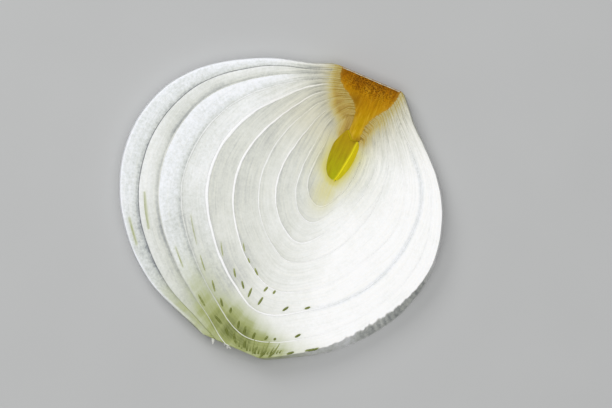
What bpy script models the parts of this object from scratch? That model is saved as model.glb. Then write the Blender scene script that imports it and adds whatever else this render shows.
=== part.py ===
# One lengthwise slice of a white onion, lying flat on its lower cut face.
#
# Plan positions are measured from the growing point, where the newest leaf starts:
# +Y runs towards the root, +X to the right and +Z out of the upper cut face.
# A bearing is an angle in degrees about the growing point, anticlockwise from +Y.
# The origin ends up under the middle of the slice.

import math

import bmesh
import bpy
import numpy as np
from mathutils import Vector

MM = 0.001

# The slice
THICKNESS = 6.0 * MM
GAP = 0.3 * MM
EASE = 0.2 * MM
ROOT_CUT = 22.4 * MM
NECK_CUT = 52.9 * MM

# Outer wall: the lower face is wider than the upper one, most of all at the lower right.
# At half height the wall is already most of the way out.
LEAN = 0.7 * MM
LEAN_EXTRA = 2.2 * MM
LEAN_BEARING = 214.0
LEAN_SPREAD = 22.0
LEAN_AT_HALF_HEIGHT = 0.62

# Layer edges: how far each edge of the upper face lies from the growing point, in mm,
# at each bearing. Edges 0 and 1 belong to the two outer scales, which are left on one side.
# Past the neck, edge 2 is the outside of the slice.
BEARINGS = (20, 45, 65, 90, 105, 120, 145, 160, 172, 190, 210, 240, 270, 300, 330, 347)
EDGE_REACH = (
    (24.4, 27.6, 35.6, 49.1, 54.3, 56.6, 56.7, 54.9, 56.4),
    (23.2, 26.0, 33.0, 44.0, 48.8, 52.0, 53.5, 53.4, 55.2),
    (22.0, 24.5, 29.8, 39.5, 43.9, 47.0, 49.0, 50.8, 54.2, 48.2, 41.1, 34.1, 26.3, 20.8, 20.4, 23.4),
    (20.8, 23.0, 26.5, 33.5, 37.6, 41.0, 44.2, 46.9, 49.6, 44.7, 38.0, 30.5, 23.5, 18.8, 18.4, 21.2),
    (19.6, 21.4, 23.0, 28.0, 31.4, 34.5, 38.0, 40.6, 42.6, 37.3, 32.0, 25.3, 20.8, 17.2, 16.8, 19.4),
    (18.4, 19.2, 19.5, 22.0, 24.7, 27.6, 31.7, 34.5, 36.0, 31.8, 25.5, 20.5, 16.3, 13.7, 14.6, 17.4),
    (17.2, 16.8, 16.4, 17.5, 19.0, 21.0, 24.8, 26.9, 28.0, 23.3, 17.5, 12.6, 10.8, 11.0, 12.6, 15.3),
    (15.9, 14.3, 13.0, 13.4, 14.6, 16.4, 20.2, 22.1, 22.6, 16.8, 11.4, 8.4, 7.6, 8.2, 10.3, 12.9),
    (14.3, 11.5, 9.8, 9.3, 9.8, 11.0, 14.5, 16.5, 16.8, 11.6, 7.8, 5.6, 5.0, 5.5, 7.7, 10.1),
    (12.5, 9.3, 7.5, 7.0, 7.4, 8.4, 11.0, 12.2, 12.2, 8.2, 5.4, 3.6, 3.2, 3.7, 5.5, 7.7),
)
CORE_HOLE = 0.8 * MM

# Bearings where the scales start and stop. The root ends run into the plate and are cut there.
FIRST_BEARING = 4.0
LAST_BEARING = 357.0
STATION_STEP = 5.27
SCALE_ENDS = {1: 168.0, 2: 171.5}

# How far the top of each scale lies below the highest one
SCALE_DIPS = (0.0, 0.12, 0.04, 0.16, 0.02, 0.14, 0.06, 0.18, 0.1, 0.2)

# Corky stem plate with the stalk that carries the shoot, as points in mm, clockwise
PLATE_OUTLINE = (
    (-10.4, 22.4), (5.8, 22.4), (5.5, 20.1), (4.6, 17.3), (2.9, 14.9), (1.3, 12.0),
    (0.8, 9.3), (0.9, 6.9), (-0.7, 6.6), (-2.4, 8.5), (-2.4, 11.0), (-3.2, 13.9),
    (-5.3, 16.1), (-8.2, 18.0), (-9.8, 19.8),
)
PLATE_CORNERS = (0, 1, 7, 8, 9)

# The two leaves of the shoot, side by side along a bright rib
LEFT_LEAF_OUTLINE = (
    (-2.9, 8.2), (-1.0, 6.2), (0.4, 6.45), (0.3, 3.4), (-0.1, 0.6), (-0.6, -2.8),
    (-1.1, -4.3), (-2.4, -4.2), (-3.6, -2.9), (-4.3, -0.8), (-4.6, 1.8), (-4.5, 4.4),
)
LEFT_LEAF_CORNERS = (0, 1, 2)
RIGHT_LEAF_OUTLINE = (
    (0.75, 6.4), (1.3, 5.6), (1.5, 3.6), (1.4, 0.6), (0.8, -1.8), (-0.1, -3.9),
    (-0.6, -4.4), (-0.3, -2.8), (0.2, 0.6), (0.62, 3.4),
)
RIGHT_LEAF_CORNERS = (0, 6)
PLATE_DIP = 0.05 * MM
SHOOT_DIP = 0.15 * MM
OUTLINE_STEPS = 3

# Finishes: colour, roughness and metallic
FLESH = ((0.80, 0.82, 0.78, 1.0), 0.35, 0.0)
YOUNG_FLESH = ((0.78, 0.80, 0.66, 1.0), 0.35, 0.0)
CORK = ((0.36, 0.16, 0.015, 1.0), 0.6, 0.0)
LEFT_LEAF_COLOUR = ((0.46, 0.36, 0.01, 1.0), 0.4, 0.0)
RIGHT_LEAF_COLOUR = ((0.62, 0.52, 0.02, 1.0), 0.4, 0.0)


def clear_scene():
    for old in list(bpy.data.objects):
        bpy.data.objects.remove(old)


def new_collection(name):
    made = bpy.data.collections.new(name)
    bpy.context.scene.collection.children.link(made)
    return made


def make_material(name, finish):
    colour, roughness, metallic = finish
    made = bpy.data.materials.new(name)
    made.use_nodes = True
    shader = made.node_tree.nodes["Principled BSDF"]
    shader.inputs["Base Color"].default_value = colour
    shader.inputs["Roughness"].default_value = roughness
    shader.inputs["Metallic"].default_value = metallic
    made.diffuse_color = colour
    return made


def reach(edge, bearing):
    """Distance of a layer edge from the growing point, on a smooth curve through its reaches."""
    known = np.array(EDGE_REACH[edge]) * MM
    places = np.array(BEARINGS[:len(known)], dtype=float)
    slopes = np.gradient(known, places)
    bearing = min(max(bearing, places[0]), places[-1])
    i = min(int(np.searchsorted(places, bearing, side="right")) - 1, len(places) - 2)
    span = places[i + 1] - places[i]
    q = (bearing - places[i]) / span
    return float(
        (2 * q**3 - 3 * q**2 + 1) * known[i]
        + (q**3 - 2 * q**2 + q) * span * slopes[i]
        + (3 * q**2 - 2 * q**3) * known[i + 1]
        + (q**3 - q**2) * span * slopes[i + 1]
    )


def outermost(bearing):
    """Reach of the outside of the slice."""
    return reach(0, bearing) if bearing < SCALE_ENDS[1] else reach(2, bearing)


def lean(bearing):
    """How much further out the outer wall stands at the lower face than at the upper face."""
    off = (bearing - LEAN_BEARING) / LEAN_SPREAD
    return LEAN + LEAN_EXTRA * math.exp(-off * off)


def plan_point(distance, bearing):
    angle = math.radians(bearing)
    return Vector((-distance * math.sin(angle), distance * math.cos(angle)))


def edge_point(edge, bearing, leaning):
    """A point of a layer edge in plan, with leaning 0 at the upper face and 1 at the lower."""
    distance = CORE_HOLE if edge is None else reach(edge, bearing)
    return plan_point(distance * (1 + leaning * lean(bearing) / outermost(bearing)), bearing)


def edge_outward(edge, bearing):
    """The direction square to a layer edge in plan, away from the growing point."""
    along = edge_point(edge, bearing + 0.5, 0) - edge_point(edge, bearing - 0.5, 0)
    return Vector((along.y, -along.x)).normalized()


def wall_point(edge, bearing, height, top, shift):
    """A point on the wall that stands under a layer edge, shifted square to the edge."""
    share = height / top
    if share > 0.5:
        leaning = LEAN_AT_HALF_HEIGHT * 2 * (1 - share)
    else:
        leaning = 1 - (1 - LEAN_AT_HALF_HEIGHT) * 2 * share
    plan = edge_point(edge, bearing, leaning) + edge_outward(edge, bearing) * shift
    return Vector((plan.x, plan.y, height))


def scale_section(outer, inner, bearing, top):
    """The eased section of a scale across one bearing, as a ring of points."""
    heights = (0.0, EASE, top / 2, top - EASE, top)
    eases = (EASE, 0.0, 0.0, 0.0, EASE)
    outer_side = [
        wall_point(outer, bearing, height, top, -GAP / 2 - ease)
        for height, ease in zip(heights, eases)
    ]
    inner_side = [
        wall_point(inner, bearing, height, top, GAP / 2 + ease)
        for height, ease in zip(heights, eases)
    ]
    return outer_side + inner_side[::-1]


def loft(name, sections):
    """A closed mesh through a row of like sections, with a cap on each end."""
    mesh = bpy.data.meshes.new(name)
    bm = bmesh.new()
    rows = [[bm.verts.new(point) for point in section] for section in sections]
    for row, following in zip(rows, rows[1:]):
        count = len(row)
        for i in range(count):
            j = (i + 1) % count
            bm.faces.new((row[i], row[j], following[j], following[i]))
    bm.faces.new(rows[0][::-1])
    bm.faces.new(rows[-1])
    bmesh.ops.recalc_face_normals(bm, faces=bm.faces)
    bm.to_mesh(mesh)
    bm.free()
    return mesh


def stations(last_bearing):
    """Bearings of the sections, shared by all scales so that neighbours stay parallel."""
    count = int(round((LAST_BEARING - FIRST_BEARING) / STATION_STEP))
    step = (LAST_BEARING - FIRST_BEARING) / count
    shared = [FIRST_BEARING + step * i for i in range(count + 1)]
    kept = [bearing for bearing in shared if bearing < last_bearing - 1]
    return kept + [last_bearing]


def place(obj, collection, centre, material=None):
    """Links an object, hangs it on the growing point and gives it its finish."""
    collection.objects.link(obj)
    obj.parent = centre
    if material is not None:
        obj.data.materials.clear()
        obj.data.materials.append(material)
        obj.data.shade_smooth()
        obj.data.set_sharp_from_angle(angle=math.radians(25))
    return obj


def flat_piece(name, outline, corners, bottom, top, spread=0.0):
    """A plate of the given outline between two heights, grown sideways by spread."""
    curve = bpy.data.curves.new(name, "CURVE")
    curve.dimensions = "2D"
    curve.fill_mode = "BOTH"
    curve.resolution_u = OUTLINE_STEPS
    curve.extrude = (top - bottom) / 2
    curve.offset = spread
    spline = curve.splines.new("BEZIER")
    spline.use_cyclic_u = True
    spline.bezier_points.add(len(outline) - 1)
    for i, (point, (x, y)) in enumerate(zip(spline.bezier_points, outline)):
        point.co = (x * MM, y * MM, 0.0)
        kind = "VECTOR" if i in corners else "AUTO"
        point.handle_left_type = kind
        point.handle_right_type = kind
    drawn = bpy.data.objects.new(name + "_outline", curve)
    bpy.context.scene.collection.objects.link(drawn)
    drawn.location.z = (top + bottom) / 2
    bpy.context.view_layer.update()
    evaluated = drawn.evaluated_get(bpy.context.evaluated_depsgraph_get())
    mesh = bpy.data.meshes.new_from_object(evaluated)
    mesh.name = name
    mesh.transform(drawn.matrix_world)
    bpy.data.objects.remove(drawn)
    bm = bmesh.new()
    bm.from_mesh(mesh)
    bmesh.ops.remove_doubles(bm, verts=bm.verts, dist=0.00001)
    bmesh.ops.recalc_face_normals(bm, faces=bm.faces)
    bm.to_mesh(mesh)
    bm.free()
    return bpy.data.objects.new(name, mesh)


def knife(name, low, high, cutters, centre):
    """A block that takes away what lies beyond a straight cut."""
    bpy.ops.mesh.primitive_cube_add(size=1.0)
    block = bpy.context.active_object
    block.name = name
    for holder in list(block.users_collection):
        holder.objects.unlink(block)
    block.scale = [b - a for a, b in zip(low, high)]
    block.location = [(a + b) / 2 for a, b in zip(low, high)]
    place(block, cutters, centre)
    return block


def hide_cutter(cutter):
    cutter.hide_render = True
    cutter.display_type = "WIRE"


def cut(obj, cutter):
    modifier = obj.modifiers.new(cutter.name, "BOOLEAN")
    modifier.operation = "DIFFERENCE"
    modifier.solver = "EXACT"
    modifier.object = cutter


def ease_edges(obj):
    modifier = obj.modifiers.new("eased_edges", "BEVEL")
    modifier.width = EASE
    modifier.segments = 1
    modifier.limit_method = "ANGLE"
    modifier.angle_limit = math.radians(60)


def plan_middle():
    """Middle of the slice in plan, from the growing point."""
    lower = []
    for edge, last in ((0, SCALE_ENDS[1]), (2, LAST_BEARING)):
        for bearing in stations(last):
            lower.append(wall_point(edge, bearing, EASE, THICKNESS, -GAP / 2))
    low_x = min(point.x for point in lower)
    high_x = max(point.x for point in lower)
    return Vector(((low_x + high_x) / 2, (ROOT_CUT - NECK_CUT) / 2, 0.0))


def build():
    clear_scene()
    parts = new_collection("onion_slice")
    cutters = new_collection("cutters")

    centre = bpy.data.objects.new("growing_point", None)
    bpy.context.scene.collection.objects.link(centre)
    centre.location = -plan_middle()

    # The knife trims the root end and the neck
    far = 100 * MM
    root_knife = knife("root_knife", (-far, ROOT_CUT, -far), (far, 2 * far, far), cutters, centre)
    neck_knife = knife("neck_knife", (-far, -2 * far, -far), (far, -NECK_CUT, far), cutters, centre)

    # Stem plate and shoot, and the room that they take out of the scales round them
    plate_top = THICKNESS - PLATE_DIP
    shoot_top = THICKNESS - SHOOT_DIP
    pieces = (
        ("basal_plate", PLATE_OUTLINE, PLATE_CORNERS, plate_top, CORK),
        ("shoot_leaf_left", LEFT_LEAF_OUTLINE, LEFT_LEAF_CORNERS, shoot_top, LEFT_LEAF_COLOUR),
        ("shoot_leaf_right", RIGHT_LEAF_OUTLINE, RIGHT_LEAF_CORNERS, shoot_top, RIGHT_LEAF_COLOUR),
    )
    rooms = []
    for name, outline, corners, top, finish in pieces:
        piece = flat_piece(name, outline, corners, 0.0, top)
        place(piece, parts, centre, make_material(name, finish))
        ease_edges(piece)
        room = flat_piece(name + "_room", outline, corners, -THICKNESS, 2 * THICKNESS, GAP)
        rooms.append(place(room, cutters, centre))

    # Fleshy scales, from the outside in, and the young leaf in the middle
    count = len(EDGE_REACH)
    for number in range(1, count + 1):
        outer = number - 1
        inner = number if number < count else None
        name = f"scale_{number:02d}" if number < count else "young_leaf"
        top = THICKNESS - SCALE_DIPS[outer] * MM
        last = SCALE_ENDS.get(number, LAST_BEARING)
        sections = [scale_section(outer, inner, bearing, top) for bearing in stations(last)]
        scale = bpy.data.objects.new(name, loft(name, sections))
        finish = FLESH if number < count - 1 else YOUNG_FLESH
        place(scale, parts, centre, make_material(name, finish))
        for cutter in (root_knife, neck_knife, rooms[0]):
            cut(scale, cutter)
        if inner is None:
            cut(scale, rooms[1])
            cut(scale, rooms[2])

    for cutter in cutters.objects:
        hide_cutter(cutter)


build()
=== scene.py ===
import math

import bmesh
import bpy
import numpy as np
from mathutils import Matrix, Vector


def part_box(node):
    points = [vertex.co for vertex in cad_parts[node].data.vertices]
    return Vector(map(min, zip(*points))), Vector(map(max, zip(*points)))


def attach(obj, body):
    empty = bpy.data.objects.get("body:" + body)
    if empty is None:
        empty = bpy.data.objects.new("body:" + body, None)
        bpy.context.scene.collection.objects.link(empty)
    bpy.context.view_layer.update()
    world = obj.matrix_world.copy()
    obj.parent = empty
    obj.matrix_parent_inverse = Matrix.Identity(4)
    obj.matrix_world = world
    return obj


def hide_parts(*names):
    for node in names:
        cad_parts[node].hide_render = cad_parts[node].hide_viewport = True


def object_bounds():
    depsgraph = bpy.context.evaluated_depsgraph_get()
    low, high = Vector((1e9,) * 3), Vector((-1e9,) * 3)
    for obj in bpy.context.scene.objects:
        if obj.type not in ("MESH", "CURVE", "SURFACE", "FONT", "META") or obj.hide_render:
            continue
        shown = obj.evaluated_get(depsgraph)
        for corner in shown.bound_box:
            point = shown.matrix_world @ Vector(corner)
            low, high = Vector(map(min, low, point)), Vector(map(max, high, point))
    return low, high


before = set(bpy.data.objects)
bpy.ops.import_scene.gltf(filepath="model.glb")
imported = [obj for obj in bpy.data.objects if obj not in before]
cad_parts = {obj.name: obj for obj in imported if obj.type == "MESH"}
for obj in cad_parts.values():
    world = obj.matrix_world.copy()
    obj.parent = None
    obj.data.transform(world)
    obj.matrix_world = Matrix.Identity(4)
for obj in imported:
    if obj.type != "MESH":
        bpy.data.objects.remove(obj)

cad_low, cad_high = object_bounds()

# Fleshy scales
# Nine swollen leaf bases of crisp, watery cells, each inside a skin as thin as film. They grow
# from the stem plate one inside the other and were all cut through at once, so each shows as a
# band with a skin line along both sides. The two outermost are left on one side only.
MM = 0.001
SCALE_COUNT = 9
THICKNESS = 6.0 * MM
# The growing point, under the shoot: how far it lies from both cuts and the plate's left side
ROOT_CUT = 22.4 * MM
NECK_CUT = 52.9 * MM
PLATE_LEFT = 10.4 * MM
# How far each layer edge lies from the growing point in mm, outermost first, at bearings in
# degrees from the root, anticlockwise seen from above
BEARINGS = (20, 45, 65, 90, 105, 120, 145, 160, 172, 190, 210, 240, 270, 300, 330, 347)
EDGE_REACH = (
    (24.4, 27.6, 35.6, 49.1, 54.3, 56.6, 56.7, 54.9, 56.4),
    (23.2, 26.0, 33.0, 44.0, 48.8, 52.0, 53.5, 53.4, 55.2),
    (22.0, 24.5, 29.8, 39.5, 43.9, 47.0, 49.0, 50.8, 54.2, 48.2, 41.1, 34.1, 26.3, 20.8, 20.4, 23.4),
    (20.8, 23.0, 26.5, 33.5, 37.6, 41.0, 44.2, 46.9, 49.6, 44.7, 38.0, 30.5, 23.5, 18.8, 18.4, 21.2),
    (19.6, 21.4, 23.0, 28.0, 31.4, 34.5, 38.0, 40.6, 42.6, 37.3, 32.0, 25.3, 20.8, 17.2, 16.8, 19.4),
    (18.4, 19.2, 19.5, 22.0, 24.7, 27.6, 31.7, 34.5, 36.0, 31.8, 25.5, 20.5, 16.3, 13.7, 14.6, 17.4),
    (17.2, 16.8, 16.4, 17.5, 19.0, 21.0, 24.8, 26.9, 28.0, 23.3, 17.5, 12.6, 10.8, 11.0, 12.6, 15.3),
    (15.9, 14.3, 13.0, 13.4, 14.6, 16.4, 20.2, 22.1, 22.6, 16.8, 11.4, 8.4, 7.6, 8.2, 10.3, 12.9),
    (14.3, 11.5, 9.8, 9.3, 9.8, 11.0, 14.5, 16.5, 16.8, 11.6, 7.8, 5.6, 5.0, 5.5, 7.7, 10.1),
    (12.5, 9.3, 7.5, 7.0, 7.4, 8.4, 11.0, 12.2, 12.2, 8.2, 5.4, 3.6, 3.2, 3.7, 5.5, 7.7),
)
OUTER_SCALES_END = 168.0
LAST_BEARINGS = {1: OUTER_SCALES_END, 2: 171.5}
# The bearings searched for the ends of each scale, and one that every scale crosses
SEARCHED = np.arange(4.0, 357.0, 0.1)
HALF_WAY = 120.0
# Relief of the cut: how much lower each scale lies in mm, the seams, the soft edges, the crown
# of each band, the room that the skins need above it, and how far the flesh reaches down past
# the lower face of its solid; then the knife's ridges and how far the outer walls stand out
SCALE_DIPS = (0.0, 0.04, 0.01, 0.04, 0.01, 0.03, 0.01, 0.03, 0.02)
SEAM = 0.04 * MM
OPEN_SEAM = 0.07 * MM
GROWN_TOGETHER = -0.03 * MM
EASE = 0.05 * MM
CROWN = 0.08 * MM
PROUD = 0.05 * MM
UNDERSIDE = 0.01 * MM
RIDGE = 0.015 * MM
UNEVEN = 0.1 * MM
LEAN, BRUISED_LEAN = 0.7 * MM, 2.2 * MM
BRUISED_BEARING = 214.0
RAGGED = 0.45 * MM
KNIFE_ANGLE = math.radians(45)
ROWS_ALONG = 620
ROWS_ACROSS = 24
ROWS_DOWN = 8
plate_low, plate_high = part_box("basal_plate")
growing_point = np.array([plate_low.x + PLATE_LEFT, cad_high.y - ROOT_CUT])


def smooth(low, high, value):
    """0 below low, 1 above high and a soft step between them."""
    share = np.clip((value - low) / (high - low), 0, 1)
    return share * share * (3 - 2 * share)


def bell(middle, width, value):
    return np.exp(-(((value - middle) / width) ** 2))


def waves(place, seed):
    """Smooth irregular waves between about -1 and 1, for what grew and is never quite even."""
    return (
        0.5 * np.sin(place * 1.0 + seed * 1.7)
        + 0.3 * np.sin(place * 2.3 + seed * 4.1)
        + 0.2 * np.sin(place * 4.7 + seed * 2.9)
    )


def reach(edge, bearing):
    """Distance of a layer edge from the growing point, on a smooth curve through its reaches."""
    known = np.array(EDGE_REACH[edge]) * MM
    places = np.array(BEARINGS[:len(known)], dtype=float)
    slopes = np.gradient(known, places)
    bearing = np.clip(bearing, places[0], places[-1])
    i = np.clip(np.searchsorted(places, bearing, side="right") - 1, 0, len(places) - 2)
    span = places[i + 1] - places[i]
    q = (bearing - places[i]) / span
    return (
        (2 * q**3 - 3 * q**2 + 1) * known[i]
        + (q**3 - 2 * q**2 + q) * span * slopes[i]
        + (3 * q**2 - 2 * q**3) * known[i + 1]
        + (q**3 - q**2) * span * slopes[i + 1]
    )


def lean(bearing):
    """How far the outer wall stands out at the lower face, as a share of its reach."""
    extra = LEAN + BRUISED_LEAN * bell(BRUISED_BEARING, 22.0, bearing)
    one_side = smooth(OUTER_SCALES_END + 4, OUTER_SCALES_END - 4, bearing)
    outermost = reach(0, bearing) * one_side + reach(2, bearing) * (1 - one_side)
    return extra / outermost


def edge_distance(edge, bearing, height_share):
    """Distance of a wall from the growing point, at a height from 0 at the table to 1 on top."""
    leaning = np.interp(height_share, (0, 0.5, 1), (1, 0.62, 0))
    living = reach(edge, bearing) + UNEVEN * waves(np.radians(bearing) * 7, edge)
    distance = living * (1 + leaning * lean(bearing))
    if edge == 2:
        torn = np.interp(height_share, (0.5, 1), (0, 1)) * bell(212, 17, bearing)
        distance = distance + RAGGED * torn * waves(bearing * 1.6, 7)
    towards_neck = np.maximum(-np.cos(np.radians(bearing)), 1e-3)
    return np.minimum(distance, NECK_CUT / towards_neck)


def thin_side(bearing):
    """0 on the left of the slice and 1 on the right, where it is thin and its seams are shut."""
    return smooth(172, 205, bearing)


def face_height(number, bearing):
    """Height of a scale's upper cut face, along its edges."""
    dip = SCALE_DIPS[number - 1] * MM * (1 - 0.8 * thin_side(bearing))
    return THICKNESS - PROUD - CROWN - dip


def seam_width(edge, bearing):
    """Half the seam between two scales, widened where the edge runs aslant to the bearing."""
    seam = OPEN_SEAM if edge <= 1 else GROWN_TOGETHER
    step = 0.5
    change = (reach(edge, bearing + step) - reach(edge, bearing - step)) / np.radians(2 * step)
    slant = change / reach(edge, bearing)
    return seam / 2 * np.sqrt(1 + slant**2)


def plan(distance, bearing):
    angle = np.radians(bearing)
    x = growing_point[0] - distance * np.sin(angle)
    y = growing_point[1] + distance * np.cos(angle)
    return x, y


def plate_flanks():
    """The left and right side of the stem plate in plan, off its CAD node: y and x of each."""
    corners = np.array([v.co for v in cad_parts["basal_plate"].data.vertices])
    top = corners[corners[:, 2] > plate_high.z - 0.5 * MM]
    tip, root = growing_point[1] + 6.7 * MM, cad_high.y
    middle = np.interp(top[:, 1], (tip, root), (growing_point[0], growing_point[0] - 2.3 * MM))
    sides = []
    for side in (top[top[:, 0] < middle], top[top[:, 0] > middle]):
        order = np.argsort(side[:, 1])
        sides.append((side[order, 1], side[order, 0]))
    return sides


left_flank, right_flank = plate_flanks()


def beside_plate(x, y):
    """True where a scale may lie: clear of the stem plate and below the root cut."""
    left = np.interp(y, *left_flank) - SEAM
    right = np.interp(y, *right_flank) + SEAM
    level = (y > left_flank[0][0] - SEAM) & (y < cad_high.y)
    return (y < cad_high.y) & ~(level & (x > left) & (x < right))


def scale_ring():
    """Places round a scale's section: the share across it and the share of its height."""
    even = np.linspace(0, 1, ROWS_ACROSS + 1)
    rounded = 0.5 - 0.5 * np.cos(np.pi * even)
    across = 0.45 * even + 0.55 * rounded
    down = np.linspace(1, 0, ROWS_DOWN + 2)[1:-1]
    shares = np.concatenate([across, np.ones(ROWS_DOWN), across[::-1], np.zeros(ROWS_DOWN)])
    heights = np.concatenate(
        [np.ones(ROWS_ACROSS + 1), down, np.zeros(ROWS_ACROSS + 1), down[::-1]]
    )
    return shares, heights


def scale_distance(number, share, height, bearing):
    """Distance from the growing point to a place within a scale."""
    outer = edge_distance(number - 1, bearing, height) - seam_width(number - 1, bearing)
    inner = edge_distance(number, bearing, height) + seam_width(number, bearing)
    return inner + (outer - inner) * share, outer - inner


def scale_limits(number, share, height):
    """First and last bearing at each place of the ring, where the scale meets plate or knife."""
    grid = np.broadcast_to(SEARCHED[:, None], (len(SEARCHED), len(share)))
    distance, _ = scale_distance(number, share, height, grid)
    x, y = plan(distance, grid)
    free = beside_plate(x, y) & (grid < LAST_BEARINGS.get(number, 360.0))
    if number in LAST_BEARINGS:
        free &= distance * -np.cos(np.radians(grid)) < NECK_CUT - 0.01 * MM
    middle = np.searchsorted(SEARCHED, HALF_WAY)
    beyond = len(SEARCHED) - middle
    first = np.array([np.flatnonzero(~column[:middle]).max(initial=-1) + 1 for column in free.T])
    last = np.array([np.append(np.flatnonzero(~column[middle:]), beyond)[0] for column in free.T])
    return SEARCHED[first], SEARCHED[middle + last - 1]


def set_numbers(mesh, name, values):
    mesh.attributes.new(name, "FLOAT", "POINT").data.foreach_set("value", values.ravel())


def set_vectors(mesh, name, values):
    mesh.attributes.new(name, "FLOAT_VECTOR", "POINT").data.foreach_set("vector", values.ravel())


def closed_tube(name, points):
    """A closed mesh through rows of points, one row for each station, with both ends filled."""
    stations, ring = points.shape[:2]
    mesh = bpy.data.meshes.new(name)
    index = np.arange(stations * ring).reshape(stations, ring)
    beside = np.roll(index, -1, axis=1)
    quads = np.stack([index[:-1], index[1:], beside[1:], beside[:-1]], axis=-1).reshape(-1, 4)
    ends = [index[0].tolist(), index[-1, ::-1].tolist()]
    mesh.from_pydata(points.reshape(-1, 3), [], quads.tolist() + ends)
    bm = bmesh.new()
    bm.from_mesh(mesh)
    bmesh.ops.triangulate(bm, faces=[face for face in bm.faces if len(face.verts) > 4])
    bmesh.ops.recalc_face_normals(bm, faces=bm.faces)
    bm.to_mesh(mesh)
    bm.free()
    mesh.shade_smooth()
    mesh.set_sharp_from_angle(angle=KNIFE_ANGLE)
    return mesh


# The stem plate, its stalk and the shoot from root to tip: height, middle and half width in mm
BROWN_AXIS = (
    (-4.0, -1.4, 0.8), (-1.0, -1.8, 2.4), (3.0, -1.5, 2.9), (6.5, -0.6, 1.5), (10.0, -0.8, 1.6),
    (13.9, -0.4, 2.9), (17.0, -0.9, 5.3), (19.8, -2.2, 7.6), (22.4, -2.3, 8.1),
)


def outside_axis(x, y):
    """How far a place lies outside the plate, its stalk and the shoot."""
    heights, middles, halves = np.array(BROWN_AXIS).T * MM
    nearest = np.full(x.shape, 1.0)
    for height in np.linspace(heights[0], heights[-1], 60):
        middle, half = np.interp(height, heights, middles), np.interp(height, heights, halves)
        away = np.hypot(x - growing_point[0] - middle, y - growing_point[1] - height) - half
        nearest = np.minimum(nearest, away)
    return np.maximum(nearest, 0.0)


# Green veins cut through near the neck: scale, first and last bearing, and how far across
# the scale each end lies
VEINS = (
    (1, 127, 134, 0.65, 0.65), (2, 121, 131, 0.71, 0.71), (3, 139, 145.5, 0.71, 0.75),
    (3, 154.5, 158.5, 0.75, 0.79), (3, 162, 165.5, 0.6, 0.45), (3, 166.5, 169, 0.36, 0.58),
    (3, 169.5, 172, 0.21, 0.73), (3, 173.5, 174.5, 0.25, 0.79), (3, 177.5, 177, 0.35, 0.93),
    (3, 180.3, 179.2, 0.49, 0.98), (3, 182.8, 181.4, 0.52, 0.98), (3, 188, 186, 0.85, 0.91),
    (3, 195, 191, 0.95, 0.92), (4, 131, 141.5, 0.68, 0.73), (4, 145, 150.5, 0.75, 0.81),
    (4, 154, 157.5, 0.71, 0.84), (4, 160, 162.5, 0.78, 0.89), (4, 164.5, 165.5, 0.61, 0.77),
    (4, 169, 170, 0.67, 0.93), (4, 171.5, 172.5, 0.66, 0.98), (4, 175, 175.2, 0.72, 0.99),
    (4, 179, 178.5, 0.77, 0.93), (4, 181.5, 181, 0.84, 0.91), (4, 188.5, 187, 0.8, 0.88),
    (5, 145, 150, 0.76, 0.87), (5, 156, 159, 0.66, 0.8), (5, 161.5, 164, 0.65, 0.77),
    (5, 166, 167, 0.47, 0.83), (5, 171.4, 171.3, 0.43, 0.79), (5, 181.5, 180, 0.64, 0.81),
    (5, 189.5, 187.5, 0.84, 0.88), (5, 170.8, 170.5, 0.02, 0.25), (5, 174.2, 174, 0.0, 0.16),
    (6, 150.5, 154, 0.89, 0.94), (6, 157, 159, 0.94, 0.97), (6, 162, 165, 0.92, 0.98),
)


def vein_ends(ends, number):
    """Both ends of a vein in plan."""
    first, last, inner, outer = ends
    bearings, shares = np.array([first, last], float), np.array([inner, outer])
    distance, _ = scale_distance(number, shares, np.ones(2), bearings)
    x, y = plan(distance, bearings)
    return np.stack([x, y], axis=-1)


def from_vein(ends, number, x, y):
    """Distance of places from a vein in plan."""
    start, end = vein_ends(ends, number)
    run = end - start
    along = np.clip(((x - start[0]) * run[0] + (y - start[1]) * run[1]) / (run @ run), 0, 1)
    return np.hypot(x - start[0] - along * run[0], y - start[1] - along * run[1])


TINTS = ("pale", "cool", "green", "brown", "yellow", "fan")
# Paleness and painted bluish shade of each band on the left, painted light and shade that make the
# left of the slice greyer and bluer than the right, and the painted shade and light along the sides
# of the outer three, each from the outermost scale inwards
LEFT_BANDS = (0.74, 0.56, 0.8, 0.74, 0.52, 0.48, 0.6, 0.52, 0.54, 0.5)
LEFT_BLUISH_SHADE = (0.85, 0.3, 0.8, 0.4, 0, 0, 0, 0, 0, 0)
INNER_SHADE = (0.42, 0.4, 0.36)
OUTER_LIGHT = (0.05, 0.14, 0.2)
GREEN_BEARING = 168.0


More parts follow.
